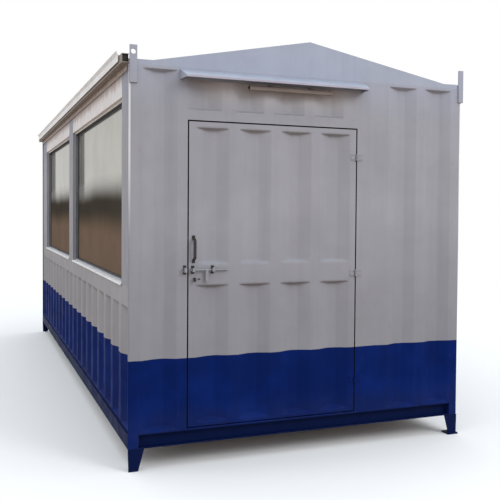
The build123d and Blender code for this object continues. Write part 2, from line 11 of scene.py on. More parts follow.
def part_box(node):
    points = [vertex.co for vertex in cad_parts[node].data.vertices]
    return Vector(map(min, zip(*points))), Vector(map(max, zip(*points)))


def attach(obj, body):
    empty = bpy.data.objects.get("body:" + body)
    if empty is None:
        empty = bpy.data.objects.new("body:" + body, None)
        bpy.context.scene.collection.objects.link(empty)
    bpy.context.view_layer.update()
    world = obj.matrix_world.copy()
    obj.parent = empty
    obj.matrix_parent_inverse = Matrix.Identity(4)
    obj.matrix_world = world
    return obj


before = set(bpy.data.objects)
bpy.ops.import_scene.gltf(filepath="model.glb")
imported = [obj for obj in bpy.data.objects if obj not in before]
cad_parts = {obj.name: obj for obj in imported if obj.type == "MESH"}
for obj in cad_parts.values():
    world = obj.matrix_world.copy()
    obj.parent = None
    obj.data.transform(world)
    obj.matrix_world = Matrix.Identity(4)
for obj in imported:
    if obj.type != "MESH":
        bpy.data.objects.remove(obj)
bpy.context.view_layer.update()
scene = bpy.context.scene
MM = 0.001

# The cabin's corners, taken from its posts
front_low, front_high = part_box("corner_post_front_left")
X_L, Y_F, Z_0 = front_low
Y_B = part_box("corner_post_rear_left")[1].y
X_R = -X_L
MID_Y = (Y_F + Y_B) / 2
HALF_LENGTH = MID_Y - Y_F
INNER_X = -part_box("side_wall_piers_left")[1].x
INNER_Y = MID_Y - front_high.y

# Colours as linear red, green, blue
WALL_GREY = (0.322, 0.326, 0.362)
# the wall paint made lighter for the side walls under the windows: painted light
SIDE_LIT_GREY = (0.368, 0.362, 0.384)
# the wall paint made paler and bluer for the gables: painted sky reflection
GABLE_SKY_LIT_GREY = (0.334, 0.350, 0.398)
HEADER_WHITE = (0.700, 0.670, 0.650)
NAVY = (0.0020, 0.0122, 0.0970)
BASE_NAVY = (0.0020, 0.0080, 0.0500)
EAVE_WHITE = (0.765, 0.775, 0.780)
# brown-grey of the gutter: painted shade of the eave
EAVE_SHADE_BROWN = (0.280, 0.240, 0.212)
EAVE_RUST = ((0.330, 0.250, 0.205), (0.440, 0.370, 0.320))
# painted shadow of the eave on the panels over the windows
EAVE_SHADOW_BROWN = (0.330, 0.235, 0.180)
DARK_RUST = (0.055, 0.022, 0.012)
# painted highlight on the gutter's lower edge, and painted shade with dirt in its channel
GUTTER_EDGE_HIGHLIGHT = (0.50, 0.46, 0.43)
CHANNEL_SHADE_BLACK = (0.012, 0.011, 0.011)
# the hood's paint with painted sky reflection, and painted light on its lip
HOOD_SKY_HIGH = (0.300, 0.335, 0.415)
HOOD_SKY_LOW = (0.350, 0.380, 0.455)
HOOD_LIP_LIGHT = (0.400, 0.385, 0.470)
# the lamp's white batten darkened: painted shade under the hood
LAMP_SHADED_GREY = (0.215, 0.175, 0.160)
ROOF_GREY = (0.430, 0.440, 0.460)
ROOF_DUST = (0.20, 0.17, 0.14)
LINING = (0.520, 0.490, 0.430)
PLY = ((0.23, 0.15, 0.085), (0.33, 0.23, 0.13))
SASH_GREY = (0.36, 0.37, 0.41)
# painted highlight on the sash's head, and painted shade on its turned-in faces
SASH_HEAD_HIGHLIGHT = (0.800, 0.780, 0.750)
SASH_INNER_SHADE = (0.170, 0.175, 0.190)
SASH_SHADE = (0.022, 0.022, 0.023)
# the glazing's painted reflection, from head to foot
GLASS_REFLECTION_HEAD = (0.610, 0.605, 0.575)
GLASS_REFLECTION_MIDDLE = (0.056, 0.050, 0.040)
GLASS_REFLECTION_FOOT = (0.170, 0.122, 0.089)
ZINC_GREY = (0.26, 0.26, 0.28)
STEEL_BLACK = (0.017, 0.014, 0.015)
PRIMER = (0.115, 0.085, 0.075)
BLACK = (0.010, 0.010, 0.011)
RUBBER_BLOOM = (0.028, 0.027, 0.026)
SCUFF_GREY = (0.25, 0.25, 0.27)
MUD = (0.12, 0.12, 0.12)
# painted highlight on the posts' rounded edges
EDGE_HIGHLIGHT = (0.88, 0.89, 0.94)
# painted shade on the ledges under the door hood
LEDGE_SHADE = (0.285, 0.285, 0.296)

# Tints that a colour is multiplied by
CREAMY = (1.015, 1.0, 0.965)
# painted sky reflection on the paint high up
SKY_REFLECTION_TINT = (1.05, 1.10, 1.20)
# painted warm bounce light under the door hood
HOOD_BOUNCE_TINT = (1.58, 1.47, 1.28)

# Heights above the ground, in metres
PAINT_LINE = 0.690        # the masked line between the two paints
SPLASHED = (0.23, 0.45)   # mud thins out over these heights
LOW_SHADE_HEIGHTS = (0.70, 1.75)      # painted shade lifts over these: darker towards the bottom
EDGE_HIGHLIGHT_HEIGHTS = (1.35, 2.05)    # a painted highlight on the posts' edges grows over these
SKY_REFLECTION_HEIGHTS = (2.15, 2.62)    # painted sky reflection turns the paint paler and bluer over these


# Node helpers

def new_material(name, colour, roughness, **sockets):
    """A material with its principled shader; further sockets are set by name."""
    mat = bpy.data.materials.new(name)
    mat.use_nodes = True
    shader = mat.node_tree.nodes["Principled BSDF"]
    shader.inputs["Base Color"].default_value = (*colour, 1)
    shader.inputs["Roughness"].default_value = roughness
    for socket, value in sockets.items():
        shader.inputs[socket.replace("_", " ")].default_value = value
    return mat, mat.node_tree, shader


def feed(tree, source, target):
    """Put a value on a socket, or join an output to it."""
    if isinstance(source, bpy.types.NodeSocket):
        tree.links.new(source, target)
    else:
        target.default_value = source


def maths(tree, operation, first, second=0.0):
    """One maths node; returns its output."""
    node = tree.nodes.new("ShaderNodeMath")
    node.operation = operation
    for value, socket in zip((first, second), node.inputs):
        feed(tree, value, socket)
    return node.outputs[0]


def minus(tree, first, second):
    """The difference of two values."""
    return maths(tree, "SUBTRACT", first, second)


def size_of(tree, value):
    """A value without its sign."""
    return maths(tree, "ABSOLUTE", value)


def over(tree, value, limit):
    """One where a value is above a limit, else nought."""
    return maths(tree, "GREATER_THAN", value, limit)


def under(tree, value, limit):
    """One where a value is below a limit, else nought."""
    return maths(tree, "LESS_THAN", value, limit)


def least(tree, *values):
    """The smallest of several values."""
    low = values[0]
    for value in values[1:]:
        low = maths(tree, "MINIMUM", low, value)
    return low


def product(tree, *values):
    """Several values multiplied together."""
    total = values[0]
    for value in values[1:]:
        total = maths(tree, "MULTIPLY", total, value)
    return total


def within(tree, value, low, high):
    """One where a value lies in a range, else nought."""
    return product(tree, over(tree, value, low), under(tree, value, high))


def place(tree, stretch=(1, 1, 1)):
    """The object's own coordinates, stretched by a factor along each axis."""
    coords = tree.nodes.new("ShaderNodeTexCoord")
    mapping = tree.nodes.new("ShaderNodeMapping")
    mapping.inputs["Scale"].default_value = stretch
    tree.links.new(coords.outputs["Object"], mapping.inputs["Vector"])
    return mapping.outputs["Vector"]


def spot(tree):
    """The three coordinates of a point on the object."""
    split = tree.nodes.new("ShaderNodeSeparateXYZ")
    tree.links.new(place(tree), split.inputs[0])
    return split.outputs


def noise(tree, size, detail, stretch=(1, 1, 1)):
    """Smooth noise between 0 and 1, with features of about this size in metres."""
    node = tree.nodes.new("ShaderNodeTexNoise")
    node.inputs["Scale"].default_value = 1 / size
    node.inputs["Detail"].default_value = detail
    tree.links.new(place(tree, stretch), node.inputs["Vector"])
    return node.outputs["Fac"]


def band(tree, value, low, high, out_low=0.0, out_high=1.0):
    """Map a value from one range to another, smoothly and clamped."""
    node = tree.nodes.new("ShaderNodeMapRange")
    node.interpolation_type = "SMOOTHSTEP"
    feed(tree, value, node.inputs["Value"])
    bounds = (("From Min", low), ("From Max", high), ("To Min", out_low), ("To Max", out_high))
    for socket, number in bounds:
        node.inputs[socket].default_value = number
    return node.outputs["Result"]


def patchy(tree, size, shades=(0.0, 1.0), spread=(0.3, 0.7), detail=4.0, stretch=(1, 1, 1)):
    """Patches of about this size in metres, from one shade to another as the noise crosses its spread."""
    return band(tree, noise(tree, size, detail, stretch), *spread, *shades)


def blend(tree, amount, first, second, mode="MIX"):
    """Mix two colours, each a socket or a triple."""
    node = tree.nodes.new("ShaderNodeMix")
    node.data_type = "RGBA"
    node.blend_type = mode
    feed(tree, amount, node.inputs["Factor"])
    for colour, socket in ((first, node.inputs[6]), (second, node.inputs[7])):
        feed(tree, colour if isinstance(colour, bpy.types.NodeSocket) else (*colour, 1), socket)
    return node.outputs[2]


def shaded(tree, colour, *shades):
    """A colour multiplied by several shades."""
    for shade in shades:
        colour = blend(tree, 1.0, colour, shade, "MULTIPLY")
    return colour


def relief(tree, shader, soften, *layers):
    """Round sharp edges off by this radius and add layers of bump, each an output and a depth in metres."""
    bevel = tree.nodes.new("ShaderNodeBevel")
    bevel.samples = 8
    feed(tree, soften, bevel.inputs["Radius"])
    normal = bevel.outputs["Normal"]
    for source, depth in layers:
        bump = tree.nodes.new("ShaderNodeBump")
        bump.inputs["Distance"].default_value = depth
        tree.links.new(source, bump.inputs["Height"])
        tree.links.new(normal, bump.inputs["Normal"])
        normal = bump.outputs["Normal"]
    tree.links.new(normal, shader.inputs["Normal"])


def edges(tree, radius):
    """One along the sharp edges of a piece, fading out over this radius."""
    bevel = tree.nodes.new("ShaderNodeBevel")
    bevel.samples = 4
    bevel.inputs["Radius"].default_value = radius
    true = tree.nodes.new("ShaderNodeNewGeometry")
    dot = tree.nodes.new("ShaderNodeVectorMath")
    dot.operation = "DOT_PRODUCT"
    tree.links.new(bevel.outputs["Normal"], dot.inputs[0])
    tree.links.new(true.outputs["Normal"], dot.inputs[1])
    turned_away, facing_on = 0.80, 0.985
    return band(tree, dot.outputs["Value"], turned_away, facing_on, 1.0, 0.0)


def rubbed(tree, radius, size, spread, strength):
    """Where a piece's edges are rubbed down to their primer, in patches of this size."""
    return product(tree, edges(tree, radius), patchy(tree, size, spread=spread, detail=5.0), strength)


def vary_roughness(tree, shader, size, low, high, detail=4.0):
    """Let the roughness wander between two values over patches of this size."""
    feed(tree, patchy(tree, size, (low, high), detail=detail), shader.inputs["Roughness"])


def inset(tree, value, low, high):
    """How far a coordinate lies inside the nearer of two limits."""
    return least(tree, minus(tree, value, low), minus(tree, high, value))


def pressed_edges(tree, node, across):
    """The rounding of a pressed panel: full in its middle and none along its joints with its neighbours."""
    low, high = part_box(node)
    coords = spot(tree)
    gaps = [inset(tree, coords[axis], low[axis], high[axis]) for axis in {0, 1, 2} - {across}]
    share_of_gap, least_radius = 0.9, 0.4 * MM
    radius = product(tree, least(tree, FOLD_RADIUS, *gaps), share_of_gap)
    return maths(tree, "MAXIMUM", radius, least_radius)


def lined(tree, colour):
    """Give the faces that look into the cabin the pale colour of its lining boards."""
    x, y, _ = spot(tree)
    touching = 0.5 * MM
    inside = product(tree, under(tree, size_of(tree, x), INNER_X + touching),
                     under(tree, size_of(tree, minus(tree, y, MID_Y)), INNER_Y + touching))
    board = shaded(tree, LINING, patchy(tree, 0.25, (0.94, 1.03), detail=5.0))
    return blend(tree, inside, colour, board)


# Materials

FOLD_RADIUS = 0.026       # rounding of the folds in the pressed panels
EDGE_RADIUS = 0.001       # rounding of plain edges
SHEET_WAVES = 0.0035      # depth of the slow waves in the sheet
SPRAY_GRAIN = 0.00003     # depth of the sprayed paint's grain


def painted_steel(name, upper, node=None, across=1, touch=None):
    """Sprayed paint on sheet steel in two colours: waves in the sheet, rain marks, mud and rubbed edges,
    with painted sky reflection high up and painted shade towards the bottom.
    """
    roughness = 0.58
    mat, tree, shader = new_material(name, upper, roughness, Specular_IOR_Level=0.035)
    _, _, z = spot(tree)
    wobble, soft_edge = 0.009, 0.0015
    ragged = product(tree, minus(tree, noise(tree, 0.16, 3.0), 0.5), wobble)
    above = band(tree, maths(tree, "ADD", z, ragged), PAINT_LINE - soft_edge, PAINT_LINE + soft_edge)

    mottle = patchy(tree, 0.45, (0.950, 1.035))
    cloud = patchy(tree, 0.10, (0.985, 1.012), (0.35, 0.65), detail=3.0)
    streaks = patchy(tree, 0.045, (1.0, 0.955), (0.42, 0.78), stretch=(1, 1, 0.05))
    light = shaded(tree, upper, mottle, cloud, streaks)
    warm = patchy(tree, 0.8, spread=(0.45, 0.70), detail=3.0)
    light = blend(tree, product(tree, warm, 0.35), light, shaded(tree, light, CREAMY))
    # paler and bluer high up: painted sky reflection
    light = blend(tree, band(tree, z, *SKY_REFLECTION_HEIGHTS), light, shaded(tree, light, SKY_REFLECTION_TINT))

    worn = patchy(tree, 0.22, (1.15, 1.65), (0.40, 0.75))
    scuffs = patchy(tree, 0.05, (0.0, 0.015), (0.58, 0.80), detail=5.0, stretch=(1, 1, 0.10))
    dark = blend(tree, scuffs, shaded(tree, NAVY, worn), SCUFF_GREY)

    # darker towards the bottom: painted shade
    colour = shaded(tree, blend(tree, above, dark, light), band(tree, z, *LOW_SHADE_HEIGHTS, 0.82, 1.0))
    splash = product(tree, band(tree, z, *SPLASHED, 0.07, 0.0), noise(tree, 0.07, 5.0))
    colour = blend(tree, splash, colour, MUD)
    colour = blend(tree, rubbed(tree, 0.0025, 0.03, (0.56, 0.66), 0.6), colour, PRIMER)
    if touch:
        colour = touch(tree, colour)
    feed(tree, lined(tree, colour), shader.inputs["Base Color"])
    vary_roughness(tree, shader, 0.12, roughness - 0.06, roughness + 0.08)
    radius = pressed_edges(tree, node, across) if node else EDGE_RADIUS
    waves = noise(tree, 0.40, 2.0, (1, 1, 0.5))
    relief(tree, shader, radius, (waves, SHEET_WAVES), (noise(tree, 0.0035, 2.0), SPRAY_GRAIN))
    return mat


def eave_painted_shadow(tree, colour):
    """A painted shadow of the eave on the panels over the windows: a brown band with a ragged, run-like
    lower edge.
    """
    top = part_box("side_wall_over_windows_left")[1].z
    z = spot(tree)[2]
    runs = patchy(tree, 0.06, spread=(0.36, 0.66), stretch=(1, 1, 0.15))
    longest, faded, full, strength = 45.0 * MM, 60.0 * MM, 10.0 * MM, 0.60
    lowered = maths(tree, "ADD", z, product(tree, runs, longest))
    painted_shadow = band(tree, lowered, top - faded, top + full)
    return blend(tree, product(tree, painted_shadow, strength), colour, EAVE_SHADOW_BROWN)


def painted_edge_highlight(tree, colour):
    """A painted highlight on the posts' rounded outer edges, growing paler towards the top."""
    x, y, z = spot(tree)
    starts, full, strength = 13.0 * MM, 7.0 * MM, 0.75
    along = size_of(tree, minus(tree, y, MID_Y))
    corner = product(tree, band(tree, size_of(tree, x), X_R - starts, X_R - full),
                     band(tree, along, HALF_LENGTH - starts, HALF_LENGTH - full))
    return blend(tree, product(tree, corner, band(tree, z, *EDGE_HIGHLIGHT_HEIGHTS), strength), colour, EDGE_HIGHLIGHT)


def door_gap_shade(tree, colour):
    """Black on the edges round the door leaf: painted shade in the door's gap."""
    low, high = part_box("door_leaf")
    x, _, z = spot(tree)
    depth, foot = 1.5 * MM, 2.0 * MM
    edge = least(tree, inset(tree, x, low.x, high.x), minus(tree, high.z, z))
    return blend(tree, product(tree, under(tree, edge, depth), over(tree, z, low.z + foot)), colour, BLACK)


def reveal_gap_shade(tree, colour):
    """Black on the door frame's inner edges as far back as its stop: painted shade in the door's gap."""
    low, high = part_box("door_leaf")
    x, y, z = spot(tree)
    reach, stop = 7.5 * MM, 51.5 * MM
    inner = product(tree, within(tree, x, low.x - reach, high.x + reach),
                    within(tree, z, low.z, high.z + reach), under(tree, y, low.y + stop))
    return blend(tree, inner, colour, BLACK)


def under_hood_painted_light(tree, colour):
    """Over the door: painted warm bounce light under the hood, and painted shade on the lit ledges at the
    folds' feet.
    """
    low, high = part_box("front_wall_over_door")
    x, y, z = spot(tree)
    starts, full, sideways, hood_lap = 10.0 * MM, 40.0 * MM, 260.0 * MM, 6.0 * MM
    rise = band(tree, z, low.z - starts, high.z - full)
    aside = band(tree, inset(tree, x, low.x, high.x), 0.0, sideways)
    below_hood = under(tree, z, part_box("door_hood")[1].z - hood_lap)
    # paler, warmer paint under the hood: painted bounce light
    painted_bounce = product(tree, rise, aside, below_hood)
    colour = blend(tree, painted_bounce, colour, shaded(tree, colour, HOOD_BOUNCE_TINT))
    # a darker grey on the ledges' tops: painted shade
    ledge_top, behind_face, strength = 23.0 * MM, 1.0 * MM, 0.75
    ledge = product(tree, under(tree, z, low.z + ledge_top), over(tree, y, low.y + behind_face))
    return blend(tree, product(tree, ledge, strength), colour, LEDGE_SHADE)


def plain_paint(name, colour, soften=EDGE_RADIUS, roughness=0.5, specular=0.15, wear=0.4):
    """The same paint in one colour for small or trim pieces, rubbed at its edges."""
    mat, tree, shader = new_material(name, colour, roughness, Specular_IOR_Level=specular)
    shade = patchy(tree, 0.15, (0.93, 1.04))
    streaks = patchy(tree, 0.03, (1.0, 0.93), (0.45, 0.8), stretch=(1, 1, 0.08))
    tint = shaded(tree, colour, shade, streaks)
    bare = rubbed(tree, 0.002, 0.025, (0.54, 0.64), wear)
    feed(tree, blend(tree, bare, tint, PRIMER), shader.inputs["Base Color"])
    vary_roughness(tree, shader, 0.09, roughness - 0.06, roughness + 0.08)
    relief(tree, shader, soften, (noise(tree, 0.3, 2.0), 0.002), (noise(tree, 0.004, 2.0), SPRAY_GRAIN))
    return mat


def hood_paint(name):
    """The hood's paint with painted sky reflection, bluish on its fall and paler towards its lip, and
    painted light on the lip's face.
    """
    mat, tree, shader = new_material(name, HOOD_SKY_HIGH, 0.5, Specular_IOR_Level=0.15)
    low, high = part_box("door_hood")
    _, y, z = spot(tree)
    lip_height, lip_depth, fall_foot, fall_head = 15.0 * MM, 0.5 * MM, 20.0 * MM, 6.0 * MM
    lip = product(tree, under(tree, z, low.z + lip_height), under(tree, y, low.y + lip_depth))
    fall = blend(tree, band(tree, z, low.z + fall_foot, high.z - fall_head), HOOD_SKY_LOW, HOOD_SKY_HIGH)
    shade = patchy(tree, 0.12, (0.94, 1.05))
    feed(tree, shaded(tree, blend(tree, lip, fall, HOOD_LIP_LIGHT), shade), shader.inputs["Base Color"])
    relief(tree, shader, 0.0015, (noise(tree, 0.25, 2.0), 0.002))
    return mat


def gutter_paint(name):
    """Brown-grey outside, painted shade of the eave; near black in the channel, painted shade with dirt; and
    a painted highlight along the lower edge.
    """
    mat, tree, shader = new_material(name, EAVE_SHADE_BROWN, 0.6, Specular_IOR_Level=0.1)
    x, _, z = spot(tree)
    low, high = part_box("gutter_right")
    rim, lowest = 3.0 * MM, 8.0 * MM
    channel = product(tree, within(tree, size_of(tree, x), low.x + rim, high.x - rim),
                      within(tree, z, low.z + rim, high.z - rim))
    shade = patchy(tree, 0.15, (0.90, 1.03))
    # near black in the channel: painted shade with dirt
    black = shaded(tree, CHANNEL_SHADE_BLACK, patchy(tree, 0.05, (0.6, 1.6)))
    # pale along the lower edge: painted highlight
    pale = product(tree, edges(tree, 0.004), under(tree, z, low.z + lowest))
    outside = blend(tree, pale, shaded(tree, EAVE_SHADE_BROWN, shade), GUTTER_EDGE_HIGHLIGHT)
    feed(tree, blend(tree, channel, outside, black), shader.inputs["Base Color"])
    relief(tree, shader, 0.0015, (noise(tree, 0.3, 2.0), 0.002))
    return mat


def roof_sheet(name):
    """Profiled roof sheet: pale paint, dust in the pans and towards the eaves, rust on the eaves' edges."""
    mat, tree, shader = new_material(name, ROOF_GREY, 0.5, Specular_IOR_Level=0.35)
    aside = size_of(tree, spot(tree)[0])
    shade = patchy(tree, 0.30, (0.88, 1.05), detail=5.0)
    runs = patchy(tree, 0.05, (1.0, 0.88), (0.40, 0.75), detail=5.0, stretch=(0.06, 1, 1))
    dust_starts, dust_full, eave_edge = 0.85, 1.22, 0.5 * MM
    towards_eaves = band(tree, aside, dust_starts, dust_full)
    dust = product(tree, towards_eaves, patchy(tree, 0.09, (0.05, 0.5), (0.35, 0.7), detail=5.0))
    colour = blend(tree, dust, shaded(tree, ROOF_GREY, shade, runs), ROOF_DUST)
    rust = blend(tree, patchy(tree, 0.12, spread=(0.35, 0.65)), *EAVE_RUST)
    feed(tree, blend(tree, over(tree, aside, X_R - eave_edge), colour, rust), shader.inputs["Base Color"])
    relief(tree, shader, 0.003, (noise(tree, 0.25, 2.0), 0.003), (noise(tree, 0.004, 2.0), 0.00004))
    return mat


def bare_metal(name, colour, roughness, metallic, rust=0.0):
    """Zinc or steel with faint brushing, and rust in patches where it is asked for."""
    mat, tree, shader = new_material(name, colour, roughness, Metallic=metallic)
    tint = shaded(tree, colour, patchy(tree, 0.01, (0.80, 1.10), (0.25, 0.75)))
    if rust:
        rusty = product(tree, patchy(tree, 0.012, spread=(0.45, 0.62), detail=5.0), rust)
        tint = blend(tree, rusty, tint, DARK_RUST)
    feed(tree, tint, shader.inputs["Base Color"])
    vary_roughness(tree, shader, 0.02, roughness - 0.07, roughness + 0.10)
    relief(tree, shader, 0.0008, (noise(tree, 0.002, 2.0), 0.00003))
    return mat


def rubber(name):
    """Black gasket rubber with a dusty bloom."""
    mat, tree, shader = new_material(name, BLACK, 0.75)
    bloom = patchy(tree, 0.03, spread=(0.4, 0.8))
    feed(tree, blend(tree, bloom, BLACK, RUBBER_BLOOM), shader.inputs["Base Color"])
    relief(tree, shader, 0.0004, (noise(tree, 0.003, 2.0), 0.00005))
    return mat


def wood(name):
    """Plywood deck with long grain along the cabin."""
    mat, tree, shader = new_material(name, PLY[0], 0.6)
    grain = noise(tree, 0.02, 6.0, (1, 0.06, 1))
    feed(tree, blend(tree, band(tree, grain, 0.3, 0.7), *PLY), shader.inputs["Base Color"])
    relief(tree, shader, 0.001, (grain, 0.0004))
    return mat


def mirror_glass(name):
    """Glazing coloured with a painted reflection, pale at the head, dark in the middle and brown at the
    foot, and partly a mirror towards the head.
    """
    mat, tree, shader = new_material(name, GLASS_REFLECTION_MIDDLE, 0.05, Specular_IOR_Level=0.0,
                                     Specular_Tint=(0.62, 0.62, 0.60, 1))
    low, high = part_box("window_glass_left")
    z = spot(tree)[2]
    foot_to_middle, middle_to_head = (0.22, 0.40), (0.44, 0.64)     # as shares of the pane's height
    wandering, mirror_strength = 0.12, 0.8
    wander = product(tree, minus(tree, noise(tree, 1.3, 2.0), 0.5), wandering)
    share = maths(tree, "DIVIDE", minus(tree, maths(tree, "ADD", z, wander), low.z), high.z - low.z)
    painted_reflection = blend(tree, band(tree, share, *foot_to_middle), GLASS_REFLECTION_FOOT, GLASS_REFLECTION_MIDDLE)
    mirror = band(tree, share, *middle_to_head)
    painted_reflection = blend(tree, mirror, painted_reflection, GLASS_REFLECTION_HEAD)
    feed(tree, product(tree, mirror, mirror_strength), shader.inputs["Metallic"])
    cloudy = patchy(tree, 0.35, (0.93, 1.05), detail=3.0)
    feed(tree, shaded(tree, painted_reflection, cloudy), shader.inputs["Base Color"])
    vary_roughness(tree, shader, 0.2, 0.03, 0.07, detail=3.0)
    return mat


def sash_paint(name):
    """Grey sash section with a painted highlight along its head's face, and painted shade where it turns in
    towards the glass, darkest at the head.
    """
    mat, tree, shader = new_material(name, SASH_GREY, 0.5, Specular_IOR_Level=0.15)
    x, _, z = spot(tree)
    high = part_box("window_frames_right")[1]
    face_depth, head_height = 0.8 * MM, 20.0 * MM
    turned_in = under(tree, size_of(tree, x), high.x - face_depth)
    head = over(tree, z, high.z - head_height)
    inner = blend(tree, head, SASH_INNER_SHADE, SASH_SHADE)
    face = blend(tree, head, SASH_GREY, SASH_HEAD_HIGHLIGHT)
    shade = patchy(tree, 0.12, (0.92, 1.05))
    feed(tree, shaded(tree, blend(tree, turned_in, face, inner), shade), shader.inputs["Base Color"])
    relief(tree, shader, 0.0008, (noise(tree, 0.004, 2.0), SPRAY_GRAIN))
    return mat


FRAME_PAINT = painted_steel("frame_paint", WALL_GREY)
BASE = plain_paint("base_paint", BASE_NAVY, soften=0.002, roughness=0.6, specular=0.06, wear=0.25)
FASCIA = plain_paint("fascia_paint", EAVE_WHITE)
ZINC = bare_metal("zinc", ZINC_GREY, roughness=0.42, metallic=0.8)
DARK_STEEL = bare_metal("worn_steel", STEEL_BLACK, roughness=0.7, metallic=0.0, rust=0.35)
GASKET = rubber("gasket")
ROOF = roof_sheet("roof_sheet")

FINISHES = (
    (("base_channel", "leg", "floor_joists"), BASE),
    (("side_wall_over_windows",), painted_steel("header_paint", HEADER_WHITE, touch=eave_painted_shadow)),
    (("side_wall_piers", "lifting_lugs", "hinges"), FRAME_PAINT),
    (("corner_post",), painted_steel("post_paint", WALL_GREY, touch=painted_edge_highlight)),
    (("door_frame",), painted_steel("doorway_paint", WALL_GREY, touch=reveal_gap_shade)),
    (("front_gable", "rear_gable"), painted_steel("gable_paint", GABLE_SKY_LIT_GREY)),
    (("roof", "ridge_cap"), ROOF),
    (("gutter",), gutter_paint("gutter_paint")),
    (("fascia",), FASCIA),
    (("door_hood",), hood_paint("hood_paint")),
    (("window_frames",), sash_paint("sash_paint")),
    (("window_glass",), mirror_glass("mirror_glass")),
    (("door_handle", "hasp_staple"), DARK_STEEL),
    (("door_bolt", "bolt_"), ZINC),
    # the lamp body in painted shade
    (("hood_lamp",), plain_paint("lamp_body", LAMP_SHADED_GREY)),
    (("floor_deck",), wood("deck_board")),
)
ALONG_X, ALONG_Y = 0, 1
PRESSED = {                # each pressed panel's colour, the axis through it, and what is special about it
    "front_wall_left": (WALL_GREY, ALONG_Y, None),
    "front_wall_right": (WALL_GREY, ALONG_Y, None),
    "front_wall_over_door": (WALL_GREY, ALONG_Y, under_hood_painted_light),
    "door_leaf": (WALL_GREY, ALONG_Y, door_gap_shade),
    "rear_wall": (WALL_GREY, ALONG_Y, None),
    "side_wall_under_windows_left": (SIDE_LIT_GREY, ALONG_X, None),
    "side_wall_under_windows_right": (SIDE_LIT_GREY, ALONG_X, None),
}

for name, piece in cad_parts.items():
    if name in PRESSED:
        upper, across, touch = PRESSED[name]
        finish = painted_steel(f"paint_{name}", upper, name, across, touch)
    else:
        finish = next(mat for starts, mat in FINISHES if name.startswith(starts))
    piece.data.materials.clear()
    piece.data.materials.append(finish)


# Mesh helpers

SHARP = math.radians(35)  # folds steeper than this keep a hard edge


def local(x, y, z):
    """A point in metres from millimetres across, back and up from the front left corner of the base."""
    return Vector((X_L + x * MM, Y_F + y * MM, Z_0 + z * MM))


def as_is(point):
    """The same point."""
    return point


def to_rear(point):
    """The same point at the other end of the cabin."""
    return Vector((point.x, 2 * MID_Y - point.y, point.z))


def to_right(point):
    """The same point on the other side of the cabin."""
    return Vector((-point.x, point.y, point.z))


def finish_piece(name, bm, material, body):
    """Turn a mesh into a piece that rides on a body."""
    bmesh.ops.recalc_face_normals(bm, faces=bm.faces)
    mesh = bpy.data.meshes.new(name)
    bm.to_mesh(mesh)
    bm.free()
    for face in mesh.polygons:
        face.use_smooth = True
    mesh.set_sharp_from_angle(angle=SHARP)
    mesh.materials.append(material)
    piece = bpy.data.objects.new(name, mesh)
    scene.collection.objects.link(piece)
    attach(piece, body)


def skin(bm, rows, closed):
    """Join rows of points into a surface, with a face at each end unless the rows form a ring."""
    count = len(rows)
    for i in range(count if closed else count - 1):
        one, two = rows[i], rows[(i + 1) % count]
        for j in range(len(one)):
            k = (j + 1) % len(one)
            bm.faces.new((one[j], one[k], two[k], two[j]))
    if not closed:
        bm.faces.new(rows[0])
        bm.faces.new(rows[-1][::-1])


def sweep(bm, path, normal, profile, closed=False):
    """Carry a profile along a flat path with mitred corners, beside the path and along the normal."""
    rows = []
    for i, here in enumerate(path):
        runs = []
        if closed or i > 0:
            runs.append((here - path[i - 1]).normalized())
        if closed or i < len(path) - 1:
            runs.append((path[(i + 1) % len(path)] - here).normalized())
        sides = [normal.cross(run) for run in runs]
        mitre = sides[0]
        if len(sides) > 1:
            mitre = (sides[0] + sides[1]) / (1 + sides[0].dot(sides[1]))
        rows.append([bm.verts.new(here + mitre * u * MM + normal * v * MM) for u, v in profile])
    skin(bm, rows, closed)


def ring(across, other, radius, sides):
    """Steps from an axis to evenly spaced points round it."""
    turns = [2 * math.pi * i / sides for i in range(sides)]
    return [(across * math.cos(turn) + other * math.sin(turn)) * radius for turn in turns]


def turned(bm, at, axis, profile, sides):
    """Turn a profile of (radius, height) pairs in millimetres round an axis."""
    axis = axis.normalized()
    across = axis.orthogonal().normalized()
    other = axis.cross(across)
    rows = []
    for radius, level in profile:
        middle = at + axis * level * MM
        rows.append([bm.verts.new(middle + step) for step in ring(across, other, radius * MM, sides)])
    skin(bm, rows, False)


def bead(bm, path, radius, rng):
    """A hand-laid weld: a rippled round bead along a line of points."""
    ripple_length, ripple, unevenness, tapered_end, sides = 3.5 * MM, 0.16, 0.10, 0.6, 8
    points = []
    for start, end in zip(path, path[1:]):
        count = max(2, int((end - start).length / ripple_length))
        points += [start.lerp(end, i / count) for i in range(count)]
    points.append(path[-1])
    last = len(points) - 1
    rows = []
    for i, here in enumerate(points):
        along = (points[min(i + 1, last)] - points[max(i - 1, 0)]).normalized()
        across = along.orthogonal().normalized()
        swell = radius * (1 + ripple * (i % 2) + rng.uniform(-unevenness, unevenness))
        if i in (0, last):
            swell *= tapered_end
        rows.append([bm.verts.new(here + step) for step in ring(across, along.cross(across), swell, sides)])
    skin(bm, rows, False)


OUT = Vector((0, -1, 0))
BACK = Vector((0, 1, 0))
LEFT = Vector((-1, 0, 0))
RIGHT = Vector((1, 0, 0))
WIDTH = (X_R - X_L) / MM

# Sizes and places from here to the camera are in millimetres, the places as local() takes them

# Screw heads as (radius, height) pairs, with their facets round the axis
PAN_HEAD = ((3.9, 0.0), (3.9, 0.9), (3.2, 1.9), (1.7, 2.3), (1.4, 1.1), (0.4, 1.0))
DOME_HEAD = ((4.6, 0.0), (4.6, 0.8), (3.6, 2.2), (1.9, 3.0), (0.3, 3.2))
WASHER = ((8.5, -0.3), (8.5, 0.9), (6.4, 1.5), (6.0, 1.6), (6.0, 2.2), (0.3, 2.3))
HEX_HEAD = ((4.3, 2.0), (4.6, 2.6), (4.6, 6.0), (4.0, 6.8), (0.3, 7.0))
SCREW_SIDES, WASHER_SIDES, HEX_SIDES = 12, 14, 6

